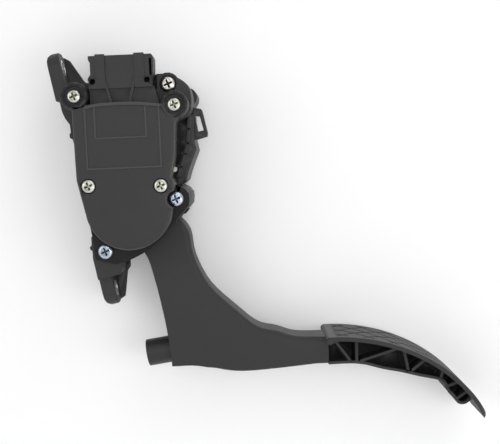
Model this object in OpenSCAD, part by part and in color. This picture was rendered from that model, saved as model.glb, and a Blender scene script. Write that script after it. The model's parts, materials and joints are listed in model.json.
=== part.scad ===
// Accelerator pedal with its position sensor, as bolted to a car's bulkhead.
// Millimetres. +X points away from the bulkhead, +Z up its face, +Y across the car.
// The origin lies midway between the two mounting holes, on the bulkhead face.
// Most outlines are drawn in the body's own plane: u to the right, v up, about the pivot.

/* [Mounting] */
// Distance between the two mounting holes
hole_spacing = 134; // [130:1:140]
// Bore of the steel mounting sleeves
hole_d = 6.6; // [6:0.1:7.2]
// Outside diameter of the mounting sleeves
sleeve_d = 10; // [9:0.1:11]
// Length of the mounting sleeves, also the thickness of the ears
sleeve_len = 7.5; // [6:0.5:8.5]
// Width of the mounting ears
ear_w = 19; // [17:0.5:21]
// Thickness of the web that braces each ear
ear_web = 2.5; // [2:0.1:3.5]

/* [Pivot] */
// Height of the pivot above the bulkhead face
pivot_x = 31; // [30:0.5:33]
// Drop of the pivot below the middle of the mounting holes
pivot_drop = 21; // [19:0.5:23]
// Lean of the sensor body against the bulkhead
body_tilt = 10.5; // [9.5:0.5:12]
// Diameter of the pivot shaft
shaft_d = 10; // [9:0.25:11]
// Radial running clearance of the shaft in its bushes
run_gap = 0.05; // [0.03:0.01:0.08]
// Wall of the bushes
bush_wall = 2; // [1.5:0.1:2.5]
// Length of the bushes
bush_len = 6; // [5:0.5:7]

/* [Housing] */
// Depth of the front shell, from the joint to its front face
front_depth = 26; // [25:0.5:28]
// Depth of the rear shell behind the joint
rear_depth = 24; // [22.5:0.5:26]
// Thickness of the rear shell's back
back_wall = 3; // [2.5:0.1:4]
// Thickness of the wall that carries the front bush
bearing_wall = 5; // [4:0.5:5.5]
// Radius of the lobe round the housing screw beside the pivot
lug_r = 7.5; // [7:0.1:8.2]
// Radius of the lobes round the other two housing screws
small_lug_r = 6.4; // [6:0.1:7]
// Radius of the lever chamber round the pivot
chamber_r = 21.5; // [20.5:0.5:22]
// Free space between the arm's sides and the chamber
arm_gap = 1; // [0.6:0.1:1.3]
// Number of tabs along the recess beside the cover
tab_count = 5; // [3:1:7]
// Height of those tabs above the recess floor
tab_h = 4; // [3:0.5:6]
// Thickness of those tabs
tab_t = 2; // [1.6:0.1:2.4]
// Thickness of the recess floor
recess_floor = 2.5; // [2:0.1:3.5]
// Thickness of the rear shell's side walls
side_wall = 2.6; // [2.2:0.1:3]
// How far the front shell's lower edge stands out at the joint
flange_w = 1.3; // [0.8:0.1:1.6]
// Thickness of the ribs on the rear shell's back
back_rib = 1.8; // [1.4:0.1:2.2]
// Spacing of those ribs
back_pitch = 11; // [9:0.5:14]

/* [Sensor cover] */
// Depth of the cover
cover_depth = 12; // [11.5:0.5:14]
// Wall of the cover
cover_wall = 2.2; // [1.8:0.1:2.6]
// Radius of the cover's round end, about the pivot
cover_r = 24.5; // [23.5:0.5:25]
// Left edge of the cover beside the frame
cover_left = 29; // [28.5:0.25:30]
// Right edge of the cover below the right lobe
cover_right = 28; // [27.5:0.25:28.5]
// Height of the cover's top edge
cover_top = 58; // [57:0.5:59]
// Radius of the hollow corner below the right ring boss
corner_r = 5; // [4:0.25:6]
// Width of the land on which the cover sits
cover_land = 4; // [3.8:0.1:4.6]
// Radius of the ring bosses round the upper screws
ring_r = 7.8; // [7:0.1:8.2]
// Radius of the wells in those bosses
well_r = 5.3; // [4.8:0.1:5.8]
// Depth of those wells
well_h = 2.6; // [2:0.1:3.2]
// Width of the raised lines on the face
line_w = 1; // [0.7:0.1:1.3]
// Height of the raised lines on the face
line_h = 0.4; // [0.2:0.1:0.6]
// Thickness of the joint seal
seal_t = 1.2; // [1:0.1:1.5]

/* [Connector] */
// Width of the plug housing
plug_w = 36; // [35:0.5:37]
// Depth of the plug housing
plug_d = 14; // [13:0.5:15]
// Height of the plug housing's mouth
plug_top = 84.3; // [82:0.5:87]
// Height of the plug housing's lower edge
plug_foot = 66; // [65:0.5:68]
// Wall of the plug housing
plug_wall = 2; // [1.6:0.1:2.4]
// Thickness of the plug housing's floor
plug_floor = 4; // [3:0.25:5]
// Width of the open channel down the plug housing's right side
channel_w = 1.3; // [1:0.1:1.6]
// Number of terminals
pin_count = 6; // [4:1:6]
// Spacing of the terminals
pin_pitch = 4.2; // [3.8:0.1:4.4]
// Width of a terminal
pin_w = 1.5; // [1.2:0.1:1.8]
// Thickness of a terminal
pin_t = 0.8; // [0.6:0.1:1]

/* [Electronics] */
// Width of the circuit board
board_w = 28; // [26:0.5:29]
// Thickness of the circuit board
board_t = 1.6; // [1.2:0.1:2]
// Radius of the rotor on the shaft's end
rotor_r = 9; // [8:0.25:10]
// Thickness of the rotor
rotor_t = 3.5; // [3:0.1:4]

/* [Fasteners] */
// Head diameter of the cover screws
screw_head_d = 7.9; // [7.2:0.1:8.2]
// Head height of the screws
screw_head_h = 2.4; // [2:0.1:2.8]
// Thread diameter of the cover screws
screw_d = 3.5; // [3:0.1:4]
// Thread diameter of the housing screws
case_screw_d = 4; // [3.5:0.1:4.5]
// Head diameter of the housing screws
case_head_d = 8.5; // [8:0.1:8.8]
// Radial clearance of fixed fits
fit_gap = 0.05; // [0.03:0.01:0.1]

/* [Pedal arm] */
// Width of the arm across the car
arm_w = 22; // [21:0.5:22.5]
// Radius of the arm's hub
hub_r = 16; // [15:0.25:16.5]
// Outer wall of the arm round its pockets
arm_wall = 3; // [2.4:0.1:3.6]
// Thickness of the ribs between the pockets
rib_t = 2; // [1.6:0.1:2.6]
// Thickness of the arm's closed near side
arm_skin = 2.5; // [2:0.1:3]
// Drop of the heel below the pivot
heel_drop = 97; // [94:0.5:100]
// Distance of the pad's root from the pivot, along u
pad_root_u = 110.6; // [107:0.5:114]
// Drop of the pad's root below the pivot
pad_root_drop = 81.5; // [80:0.5:83]
// Depth by which the arm's near side falls away below its crease
crease_fall = 1.2; // [0.8:0.1:1.5]

/* [Pad] */
// Width of the pad
pad_w = 45; // [42:0.5:50]
// Length of the pad along u
pad_len = 92.2; // [90:0.5:95]
// Thickness of the pad plate
pad_t = 2.5; // [2:0.1:3]
// Corner radius at the pad's tip
tip_r = 14; // [10:0.5:18]
// Radius of the rounded lip at the pad's root
lip_r = 2.2; // [1.8:0.1:2.6]
// Width of the rib truss under the pad
truss_w = 23; // [22:0.5:30]
// Thickness of the truss ribs
truss_rib = 1.8; // [1.4:0.1:2.2]
// Spacing of the crossed tread grooves along the pad
tread_step = 15; // [12:0.5:20]
// Width of a tread groove
tread_w = 1.1; // [0.8:0.1:1.6]
// Depth of the tread grooves
tread_depth = 0.6; // [0.4:0.1:1]
// Plain rim round the tread
tread_rim = 4; // [3:0.5:6]
// Length of the tread along u
tread_len = 66; // [55:1:72]

/* [Return springs] */
// Outer diameter of the outer spring
spring_d = 16; // [15:0.25:17]
// Wire of the outer spring
spring_wire = 1.8; // [1.5:0.1:2]
// Outer diameter of the inner spring
inner_d = 10.5; // [9.5:0.25:11]
// Wire of the inner spring
inner_wire = 1.3; // [1:0.1:1.5]
// Height of the springs' axis above the pivot
spring_v = 31.5; // [30.5:0.25:32]
// Thickness of the spring seat's base
seat_t = 2; // [1.5:0.1:2.5]

/* [Kick-down stop] */
// Diameter of the plunger
plunger_d = 16; // [15:0.25:16.5]
// How far the plunger stands out of the heel
plunger_out = 13.5; // [12:0.5:15]
// Depth of the plunger's bore in the arm
plunger_bore = 26; // [24:0.5:28]
// Travel of the plunger
plunger_travel = 6; // [5:0.5:7]
// Radial running clearance of the plunger
plunger_gap = 0.08; // [0.05:0.01:0.1]

/* [Hidden] */
$fn = 48;
eps = 0.01;

// Colours
black = [0.22, 0.22, 0.22];
deep_black = [0.17, 0.17, 0.17];
steel = [0.72, 0.72, 0.7];
zinc = [0.66, 0.68, 0.6];

// Depths, counted along Y from the joint between the two shells
front_y = -front_depth;
cover_y = front_y - cover_depth;
half_arm = arm_w / 2;
chamber_y = half_arm + arm_gap;
floor_y = -chamber_y - bearing_wall;
recess_y = -chamber_y - recess_floor;
block_y = -15;
plug_mid = -0.5;
plug_y0 = cover_y + 2;
plug_y1 = plug_y0 + plug_d;
back_y = rear_depth - back_wall;
board_y = cover_y + 9;
rotor_y = floor_y - 3;

// Points of the body plane, as [u, v] from the pivot
ring_at = [[-27.3, 62.5], [28.1, 55.7]];
flush_at = [[-21.7, 12.3], [18.6, 11]];
lug_at = [[24.3, 68.1], [25.9, 2.9], [-15.8, -25.4]];
lug_radii = [small_lug_r, lug_r, small_lug_r];
pin_at = [25.2, 19.7];
pin_r = 1.5;
pillar_r = screw_d / 2 + 2.6;
heel = [17.3, -heel_drop];
pad_root = [pad_root_u, -pad_root_drop];
board_mid = -1.5;
board_v = [-13, cover_top - 7];
plug_left = plug_mid - plug_w / 2;
plug_right = plug_mid + plug_w / 2;
mouth_floor = plug_foot + plug_floor;
hole_up = hole_spacing / 2;
ear_tip = hole_up + ear_w / 2;

// The crank's face, and where the springs and their seat stand along u
crank_face = 4;
shoe_t = 2.5;
spring_u = crank_face + shoe_t;
seat_u = 30;
seat_end = seat_u + seat_t;

// The crease on the arm's near side, from the pad towards the heel
crease = [[83.7, -82.1], [40.5, -94]];

// Points on a smooth curve through the given ones
function catmull(a, b, c, d, t) = 0.5 * (2 * b + (c - a) * t
  + (2 * a - 5 * b + 4 * c - d) * t * t + (3 * b - a - 3 * c + d) * t * t * t);
function curve(p, n = 4) = let (m = len(p) - 1)
  [for (i = [0 : m - 1], k = [0 : n - 1])
    catmull(p[max(i - 1, 0)], p[i], p[i + 1], p[min(i + 2, m)], k / n), p[m]];
function bezier(p, t) = p[0] * pow(1 - t, 3) + 3 * p[1] * pow(1 - t, 2) * t
  + 3 * p[2] * (1 - t) * t * t + p[3] * pow(t, 3);
function unit(v) = v / norm(v);
function toward(a, b, d) = a + unit(b - a) * d;
function side(v) = [-v[1], v[0]] / norm(v);
function reverse(p) = [for (i = [len(p) - 1 : -1 : 0]) p[i]];
// The point at a share t of the way along a line of points
function along(p, t) = let (q = (len(p) - 1) * t, i = min(floor(q), len(p) - 2))
  p[i] + (p[i + 1] - p[i]) * (q - i);

// Places children drawn in the body's plane
module at_pivot() {
  translate([pivot_x, 0, -pivot_drop])
    rotate([0, body_tilt, 0])
      children();
}

// Extrudes a body plane outline from y0 to y1
module slab(y0, y1) {
  translate([0, y1, 0])
    rotate([90, 0, 0])
      linear_extrude(y1 - y0)
        children();
}

// A round bar along Y at a point of the body plane
module rod(at, r, y0, y1) {
  translate([at[0], y1, at[1]])
    rotate([90, 0, 0])
      cylinder(r = r, h = y1 - y0);
}

// A strip of even width between two points
module strip(a, b, w) {
  n = side(b - a) * w / 2;
  polygon([a + n, b + n, b - n, a - n]);
}

module disc(at, r) {
  translate(at)
    circle(r = r);
}

// The cover's outline, drawn in by k
module cover_outline(k = 0) {
  disc([0, 0], cover_r - k);
  polygon([[-cover_left + k, cover_top - k], [-cover_left + 0.6 + k, 16],
    [-cover_r - 1.6 + k, 5], [-cover_r + 0.1 + k, -3], [cover_r - 0.1 - k, -1],
    [cover_right - 3.4 - k, 16], [cover_right - 1 - k, 28], [cover_right - k, 42],
    [cover_right + 1 - k, cover_top - 2 - k]]);
}

// The wells and lobes that the cover screws need
module cover_lobes() {
  for (p = ring_at)
    disc(p, ring_r);
  disc(flush_at[1], ring_r - 0.4);
  hollow_corner(ring_at[1]);
}

// Fills the corner between the ring boss at p and the cover's right edge, hollowed by a circle
module hollow_corner(p) {
  reach = ring_r + corner_r - 0.15;
  c = [cover_right + corner_r, p[1] - sqrt(pow(reach, 2) - pow(cover_right + corner_r - p[0], 2))];
  difference() {
    polygon([[cover_right - 2, c[1]], c, p, [cover_right - 2, p[1]]]);
    disc(c, corner_r);
  }
}

// The front shell's outline: the cover's land, the upper right corner and the screw lugs
module front_outline() {
  cover_outline();
  cover_lobes();
  polygon(concat([[-cover_left, cover_top - 8], [-28, 70], [16.5, 74]], shoulder(), [[20, 44], [-20, 40]]));
  for (i = [0 : len(lug_at) - 1])
    disc(lug_at[i], lug_radii[i]);
  polygon(concat([[24, 12], [33.2, 6], [33, -1]], bottom_edge(), [[-22, -30], [-23, -18],
    [-26.5, 4], [0, 10]]));
}

// The shoulder right of the upper housing screw
function shoulder() = curve([[22, 74], [28.2, 72.2], [33, 69.4], [36, 66], [37.2, 61],
  [36.9, 55], [35, 50], [29, 47]], 3);

// The bottom edge between the two lower lugs
function bottom_edge() = curve([[30.4, -4], [25.4, -9.2], [19, -16.2], [12.7, -22.4],
  [6.4, -26.9], [-2.8, -31.2], [-10, -33.3]], 3);

// The rear shell's outline: the front one's, wider on the right
module rear_outline() {
  front_outline();
  polygon(concat([[-cover_left, 16]], left_steps(), [[-28, 70]]));
  polygon(concat([[20, 60]], right_wall(), [[20, 4]]));
  disc([33.3, 62], 5.7);
}

// The stepped left edge of the rear shell, from the frame's foot to the upper ear
function left_steps() = [[-34.6, 39.8], [-36.2, 40.8], [-36.2, 43], [-35.4, 43.8], [-35.8, 48.5],
  [-38.2, 52], [-39.7, 55.7], [-41, 62.6], [-38, 66]];

// The wall on the rear shell's right, from the loop down to the lower lug
function right_wall() = [[36.4, 56], [36.8, 50], [36.8, 36.5], [38, 30.7], [35.4, 24.8],
  [32.6, 17.8], [31.2, 13.1]];

// The chamber for hub, crank and springs, open at the bottom where the arm leaves
module chamber() {
  disc([0, 0], chamber_r);
  polygon([[-25, 8], [-25, 48], [26, 48], [26, 16], [20.5, 12], [14, 0], [-14, 0]]);
  // room for the springs, up to the face that bears their seat
  translate([0, spring_v - spring_d / 2 - 1])
    square([seat_end + fit_gap, spring_d + 2]);
}

module arm_exit() {
  polygon([[8, 0], [26, -6.5], [44, -7.5], [44, -60], [-7, -60], [-7, -16]]);
}

// Bosses in the chamber that take the housing screws
module chamber_bosses() {
  for (p = lug_at)
    disc(p, case_screw_d / 2 + 3);
}

module housing_front() {
  color(black)
    at_pivot()
      difference() {
        union() {
          difference() {
            union() {
              slab(front_y, 0)
                front_outline();
              front_flange();
            }
            // the lever chamber, open to the rear shell
            slab(-chamber_y, eps)
              difference() {
                union() {
                  chamber();
                  arm_exit();
                }
                chamber_bosses();
              }
            // the sensor's recess under the cover
            slab(front_y - eps, floor_y)
              cover_outline(cover_land + 1);
          }
          recess();
          // pillars under the lower cover screws and the board
          for (p = flush_at)
            rod(p, pillar_r, front_y, -chamber_y);
          for (p = board_posts())
            rod(p, 2.4, board_y + board_t, floor_y + eps);
          rod([0, 0], shaft_d / 2 + bush_wall + 3, floor_y - 1.5, -chamber_y);
        }
        // seat of the front bush
        rod([0, 0], shaft_d / 2 + run_gap + bush_wall, floor_y - 1.5 - eps, -chamber_y + eps);
        // cover screw threads
        for (p = concat(ring_at, flush_at))
          rod(p, screw_d / 2 + fit_gap, front_y - eps, front_y + 11);
        // housing screw holes and the upper one's well
        for (p = lug_at)
          rod(p, case_screw_d / 2 + 0.3, front_y - eps, eps);
        rod(lug_at[0], case_head_d / 2 + 0.5, front_y - eps, front_y + 1.2);
        // seal groove
        slab(front_y - eps, front_y + seal_t)
          difference() {
            cover_outline(2.2);
            cover_outline(3.8);
          }
        rod(pin_at, pin_r + fit_gap, front_y - eps, -chamber_y + eps);
        // seat of the plug housing
        slab(front_y - eps, plug_y1 + 0.3)
          translate([plug_left - 1.4, plug_foot - 0.3])
            square([plug_w + 1.8, 30]);
      }
}

// Floor of the recess beside the cover, which laps over the rear shell's wall,
// with its row of tabs
module recess() {
  slab(recess_y, -chamber_y)
    polygon(concat([[24, 49]], [for (q = right_wall()) q - [0.8, 0]], [[24, 8]]));
  p = curve([[34.9, 50], [34.2, 42], [33.2, 34], [31.6, 28], [28.8, 20.5], [26.9, 14.5]], 5);
  for (i = [0 : tab_count - 1])
    slab(recess_y - tab_h, recess_y + eps)
      strip(along(p, i / tab_count), along(p, (i + 0.88) / tab_count), tab_t);
}

// The lower edge stands out a little at the joint
module front_flange() {
  slab(-chamber_y + 3, 0)
    polygon(concat([for (q = bottom_edge()) q * (1 + flange_w / norm(q))], [[-14, -28], [29, 2]]));
}

function board_posts() = [for (s = [-1, 1], v = [4, -4])
  [board_mid + s * (board_w / 2 - 3), (v > 0 ? board_v[0] : board_v[1]) + v]];

// Upright plate with a round end, which holds one mounting sleeve, up or down from z_body
module ear_plate(up, z_body) {
  intersection() {
    rotate([90, 0, 90])
      linear_extrude(sleeve_len) {
        translate([0, up * hole_up])
          circle(r = ear_w / 2);
        translate([-ear_w / 2, min(up * hole_up, z_body)])
          square([ear_w, abs(up * hole_up - z_body)]);
      }
    // its tip is rounded on the bulkhead side and sloped on the other
    slab(-ear_w, ear_w)
      polygon([[0, z_body], [0, up * (ear_tip - 4.5)], [0.6, up * (ear_tip - 2.2)],
        [2, up * (ear_tip - 0.6)], [3.6, up * (ear_tip + 1)], [sleeve_len + 1, up * (ear_tip - 1)],
        [sleeve_len + 1, z_body]]);
  }
}

module ears() {
  // upper ear with its far web
  ear_plate(1, 48);
  slab(ear_w / 2 - ear_web + 2, ear_w / 2 + 2)
    polygon([[0, 44], [0, hole_up + 4], [4, ear_tip - 0.6], [8, ear_tip - 2.4], [10.4, ear_tip - 4.6],
      [16, hole_up - 9], [26, 48], [26, 38]]);
  // lower ear with the block that wraps the lower housing screw
  ear_plate(-1, -40);
  slab(block_y, ear_w / 2 + 2)
    polygon([[2.4, -33.5], [1.5, -38.4], [0.1, -39.3], [0.2, -41], [1.3, -41.6], [0.4, -46], [0.4, -59.2],
      [14.3, -58.6], [16, -53], [23.8, -49.9], [22, -36]]);
  slab(-ear_w / 2, ear_w / 2 + 2)
    polygon([[0, -45], [0, 9.5 - hole_up], [sleeve_len, 9.5 - hole_up], [14, -58.6], [14, -48]]);
  // its far web, deeper than the ear
  slab(ear_w / 2 - ear_web + 2, ear_w / 2 + 2)
    polygon([[0, -44], [0, 4 - ear_tip], [2, 1 - ear_tip], [6, 0.6 - ear_tip], [9.8, -74.4],
      [14.8, -59.6], [24.2, -50.2], [22, -40]]);
}

// Eye that holds the wiring, on the rear shell's right side
module wiring_eye() {
  difference() {
    polygon([[35.6, 55], [38, 55.3], [41.2, 54.7], [41.9, 53.2], [44.5, 40.3], [44.2, 38.3],
      [36.8, 36.4], [35.6, 36.4]]);
    polygon([[37.3, 50.7], [40.2, 50.6], [42.2, 42], [38.8, 41.4]]);
  }
}

module housing_rear() {
  color(black)
    difference() {
      union() {
        difference() {
          union() {
            at_pivot()
              slab(0, rear_depth)
                rear_outline();
            ears();
            at_pivot() {
              slab(-ear_w / 2, 0)
                polygon(concat([[-cover_left - 3, 30]], left_steps(), [[-28, 66]]));
              slab(-4, 4)
                wiring_eye();
              open_edge();
            }
          }
          at_pivot() {
            slab(-front_depth, 0)
              front_outline();
            front_flange();
            slab(-eps, chamber_y)
              difference() {
                union() {
                  chamber();
                  arm_exit();
                }
                chamber_bosses();
              }
          }
        }
        // boss for the rear bush
        at_pivot()
          rod([0, 0], shaft_d / 2 + bush_wall + 3, chamber_y, back_y);
      }
      at_pivot()
        back_pockets();
      at_pivot() {
        rod([0, 0], shaft_d / 2 + run_gap + bush_wall, chamber_y - eps, back_y);
        for (p = lug_at)
          rod(p, case_screw_d / 2 + fit_gap, -eps, 15);
      }
      for (s = [-1, 1])
        translate([-1, 0, s * hole_up])
          rotate([0, 90, 0])
            cylinder(r = sleeve_d / 2 + fit_gap, h = sleeve_len + 2);
    }
}

// The rear shell's wall beside the recess, and the pad on it that bears the spring seat
module open_edge() {
  p = right_wall();
  slab(-chamber_y, 0)
    polygon(concat(p, reverse([for (q = p) q - [side_wall, 0]])));
  slab(-spring_d / 2, 0)
    translate([seat_end + fit_gap, spring_v - spring_d / 2 + 1])
      square([2.4, spring_d - 2]);
}

// Pockets between the ribs on the rear shell's back
module back_pockets() {
  slab(chamber_y + back_wall, rear_depth + eps)
    difference() {
      union() {
        polygon([[-24, 22], [-31, 42], [-35, 60], [-27, 66], [14, 70], [19, 62], [32, 62], [33.5, 38],
          [34, 31], [31.5, 24], [22, 22]]);
        difference() {
          disc([0, 0], chamber_r - 1.5);
          disc([0, 0], chamber_r - 9);
        }
      }
      for (i = [-3 : 3])
        translate([i * back_pitch - back_rib / 2, 20])
          square([back_rib, 60]);
      for (i = [1 : 3])
        translate([-45, 22 + i * back_pitch + back_rib / 2])
          square([90, back_rib]);
      for (a = [0 : 45 : 315])
        rotate(a)
          translate([0, -back_rib / 2])
            square([chamber_r, back_rib]);
      for (p = lug_at)
        disc(p, small_lug_r);
    }
}

module sensor_cover() {
  color(black)
    at_pivot()
      difference() {
        union() {
          difference() {
            union() {
              slab(cover_y, front_y) {
                cover_outline();
                cover_lobes();
              }
              face_lines();
              neck();
            }
            // the hollow over the board
            slab(cover_y + cover_wall, front_y + eps)
              difference() {
                cover_outline(cover_land);
                for (p = flush_at)
                  disc(p, pillar_r);
              }
          }
          plug();
        }
        for (p = ring_at) {
          rod(p, well_r, cover_y - 2, cover_y + well_h);
          rod(p, screw_d / 2 + 0.3, cover_y, front_y + eps);
        }
        for (p = flush_at) {
          rod(p, screw_head_d / 2 + 0.3, cover_y - 2, cover_y + 1.6);
          rod(p, screw_d / 2 + 0.3, cover_y, front_y + eps);
        }
        // room for the heads of the housing screws
        for (p = lug_at)
          rod(p, case_head_d / 2 + 0.5, cover_y - 2, front_y + eps);
        // terminals pass from the hollow into the plug
        for (u = pin_u())
          translate([u - pin_w / 2 - fit_gap, board_y - pin_t - fit_gap, board_v[1]])
            cube([pin_w + 2 * fit_gap, pin_t + 2 * fit_gap, mouth_floor - board_v[1] + 1]);
      }
}

// Raised lines on the cover's face: the top rim and two frames
module face_lines() {
  top = cover_top - 1.8;
  slab(cover_y - 1.2, cover_y + 1)
    difference() {
      polygon(concat(curve([[-21, top + 0.6], [-12.8, top + 1.8], [0, top + 2], [9.4, top + 1.6],
        [21.5, top]], 4), reverse(curve([[-21, top - 1.2], [-12.8, top], [0, top + 0.2],
        [9.4, top - 0.2], [21.5, top - 1.6]], 4))));
      for (p = ring_at)
        disc(p, ring_r - 0.5);
    }
  for (f = [[-22, 20, 21.3], [-16.7, 12.5, 38.1]])
    slab(cover_y - line_h, cover_y + 1)
      difference() {
        translate([f[0], f[2]])
          square([f[1] - f[0], top - f[2]]);
        translate([f[0] + line_w, f[2] + line_w])
          square([f[1] - f[0] - 2 * line_w, top - f[2]]);
      }
}

function pin_u() = [for (i = [0 : pin_count - 1])
  board_mid + (i - (pin_count - 1) / 2) * pin_pitch];

// The recessed band between the cover's rim and the plug, with its two slanted ribs
module neck() {
  slab(cover_y + 4.5, front_y)
    polygon([[-19, cover_top - 2], [-19, plug_foot + 1], [17, plug_foot + 1],
      [20, cover_top - 2]]);
  slab(cover_y + 1.2, front_y) {
    strip([-10, plug_foot + 5], [-6.3, cover_top - 1], 1.6);
    strip([6.9, plug_foot + 5], [3.4, cover_top - 1], 1.6);
  }
}

// The plug housing, open at the top, with an open channel down its right side
module plug() {
  left = plug_left;
  right = plug_right;
  y0 = plug_y0;
  y1 = plug_y1;
  foot_h = 5.6;
  difference() {
    union() {
      slab(y0, y1)
        polygon([[left, plug_top], [left, plug_top - 2.2], [left + 0.9, plug_top - 3.8],
          [left + 0.9, plug_foot + 8], [left - 0.6, plug_foot + 6], [left - 0.6, plug_foot + 4.6],
          [left, plug_foot + 4], [left, plug_foot], [right - 1.4, plug_foot],
          [right - 1.2, plug_foot + 5.4], [right - 0.4, plug_foot + 7], [right, plug_top - 2],
          [right - 1, plug_top]]);
      // two broad ribs, and the feet that hold the lug holes
      for (b = [[3.9, 9.2], [25.4, 31]])
        slab(y0 - 0.8, y0 + 1)
          translate([left + b[0], plug_foot + 1])
            square([b[1] - b[0], plug_top + 0.7 - plug_foot - 1]);
      for (b = [[-0.1, 9.2], [25.4, 34.6]])
        slab(y0 - 1, y0 + 1)
          translate([left + b[0], plug_foot])
            square([b[1] - b[0], foot_h]);
    }
    // mouth
    slab(y0 + plug_wall, y1 - plug_wall)
      translate([left + 1 + plug_wall, mouth_floor])
        square([plug_w - 3 - channel_w - 2 * plug_wall, plug_top]);
    slab(y0 - 2, y0 + 5)
      translate([right - 1 - channel_w, plug_foot + foot_h + 1])
        square([channel_w, plug_top - plug_foot - foot_h - 3.4]);
    for (u = [2, 32.2])
      rod([left + u, plug_foot + 4], 1.6, y0 - 2, y0 + 5);
  }
}

module cover_seal() {
  color([0.35, 0.18, 0.12])
    at_pivot()
      slab(front_y, front_y + seal_t)
        difference() {
          cover_outline(2.2 + fit_gap);
          cover_outline(3.8 - fit_gap);
        }
}

module circuit_board() {
  color("darkgreen")
    at_pivot()
      slab(board_y, board_y + board_t)
        difference() {
          translate([board_mid - board_w / 2, board_v[0]])
            square([board_w, board_v[1] - board_v[0]]);
          for (p = board_posts())
            disc(p, 0.9);
        }
}

module sensor_chips() {
  color([0.1, 0.1, 0.1])
    at_pivot()
      for (v = [0, 22])
        slab(board_y - 1.4, board_y)
          translate([board_mid - 4, v - 4])
            square([8, 8]);
}

module terminals() {
  color([0.75, 0.7, 0.5])
    at_pivot()
      for (u = pin_u())
        translate([u - pin_w / 2, board_y - pin_t, board_v[1] - 6])
          cube([pin_w, pin_t, plug_top - 5 - board_v[1] + 6]);
}

module rotor() {
  color([0.85, 0.85, 0.8])
    at_pivot()
      difference() {
        rod([0, 0], rotor_r, rotor_y - rotor_t, rotor_y);
        rod([0, 0], shaft_d / 2 - 1 + fit_gap, rotor_y - 2, rotor_y + 1);
        rod([0, 0], rotor_r - 2.5 + fit_gap, rotor_y - rotor_t - 1, rotor_y - rotor_t + 1.2);
      }
}

module rotor_magnet() {
  color([0.3, 0.3, 0.33])
    at_pivot()
      difference() {
        rod([0, 0], rotor_r - 2.5, rotor_y - rotor_t, rotor_y - rotor_t + 1.2);
        rod([0, 0], 2, rotor_y - rotor_t - 1, rotor_y);
      }
}

module pivot_shaft() {
  color(steel)
    at_pivot()
      difference() {
        union() {
          rod([0, 0], shaft_d / 2, floor_y - 2.9, back_y - 1);
          rod([0, 0], shaft_d / 2 - 1, rotor_y - 2, floor_y - 2.8);
        }
        clip_groove(shaft_d / 2 - 0.8);
      }
}

// Groove for the clip, on the shaft just outside the front bush
module clip_groove(r) {
  difference() {
    rod([0, 0], shaft_d / 2 + 1, floor_y - 2.7, floor_y - 1.6);
    rod([0, 0], r, floor_y - 3, floor_y - 1);
  }
}

module shaft_clip() {
  color([0.5, 0.5, 0.5])
    at_pivot()
      difference() {
        rod([0, 0], shaft_d / 2 + 1.2, floor_y - 2.65, floor_y - 1.65);
        rod([0, 0], shaft_d / 2 - 0.75, floor_y - 3, floor_y - 1);
        slab(floor_y - 3, floor_y - 1)
          polygon([[-2, 0], [-3, -9], [3, -9], [2, 0]]);
      }
}

// A plain bearing bush between y0 and y1
module bush(y0, y1) {
  color([0.6, 0.45, 0.25])
    at_pivot()
      difference() {
        rod([0, 0], shaft_d / 2 + run_gap + bush_wall - fit_gap, y0, y1);
        rod([0, 0], shaft_d / 2 + run_gap, y0 - 1, y1 + 1);
      }
}

module bush_front() {
  bush(floor_y - 1.5, floor_y - 1.5 + bush_len);
}

module bush_rear() {
  bush(chamber_y, chamber_y + bush_len);
}

// Edges of the arm: the left one down to the heel, the lower one, and the upper one
function left_edge() = [[-8, -13.8], [4.6, -28.6], [9.7, -44.8], [14.4, -68.9],
  heel + [-0.4, 8], heel];
function lower_edge() = [heel + [3.4, 0], heel + [16, -0.4], [54.4, -101.8],
  [75, -101.6], pad_root + [0, -17.4]];
function upper_edge() = [pad_root + [0, -1.4], [92.4, -82.3], [80.8, -78.6], [69.2, -75.3],
  [57.7, -65.7], [41.9, -49.9], [33.4, -32.2], [31, -17.2], [24.5, -8.6], [13.5, -3]];

module arm_outline() {
  disc([0, 0], hub_r);
  polygon(concat(curve(left_edge()), curve(lower_edge()), curve(upper_edge()), [[0, 0]]));
}

// The crank above the hub, which the springs push
module crank_outline() {
  polygon([[-14, 4], [-17, 26], [-17, 38], [-13, 41], [crank_face, 41], [crank_face, 22],
    [13, 8]]);
}

// Pairs of points across the arm, where its inner ribs run
function stations() = [[[3, -27], [31, -17]], [[8.4, -40.5], [34.6, -36]],
  [[12.4, -58], [41.9, -49.9]], [[15, -74], [54, -62]], [[19, -95.6], [62, -69.4]],
  [[43, -99.2], [72, -76.2]], [[64, -101.8], [83, -79.4]], [[86, -101.4], [97, -82.6]],
  [[107, -99.6], [108, -83.6]]];

// One pocket between two of those ribs
function pocket(a, b) = let (
  l0 = toward(a[0], a[1], arm_wall), r0 = toward(a[1], a[0], arm_wall),
  l1 = toward(b[0], b[1], arm_wall), r1 = toward(b[1], b[0], arm_wall))
  [toward(l0, l1, rib_t / 2), toward(r0, r1, rib_t / 2),
    toward(r1, r0, rib_t / 2), toward(l1, l0, rib_t / 2)];

// Places children with Z along the plunger's axis, from the heel's face into the arm
module at_plunger() {
  translate([15.6, 0, -heel_drop + 8.6])
    rotate([0, 90 - 7.6, 0])
      children();
}

module pedal_arm() {
  color(black)
    at_pivot() {
      difference() {
        union() {
          difference() {
            slab(-half_arm, half_arm)
              arm_outline();
            pockets();
            crease_cut();
          }
          slab(-half_arm + 1, half_arm - 1)
            crank_outline();
          intersection() {
            at_plunger()
              translate([0, 0, -4])
                cylinder(r = plunger_d / 2 + 2.4, h = plunger_bore + 7);
            slab(-half_arm, half_arm)
              arm_outline();
          }
        }
        rod([0, 0], shaft_d / 2 + fit_gap, -half_arm - 1, half_arm + 1);
        at_plunger()
          translate([0, 0, -6])
            cylinder(r = plunger_d / 2 + plunger_gap, h = plunger_bore + 6);
      }
      pad_plate();
      truss();
    }
}

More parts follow.
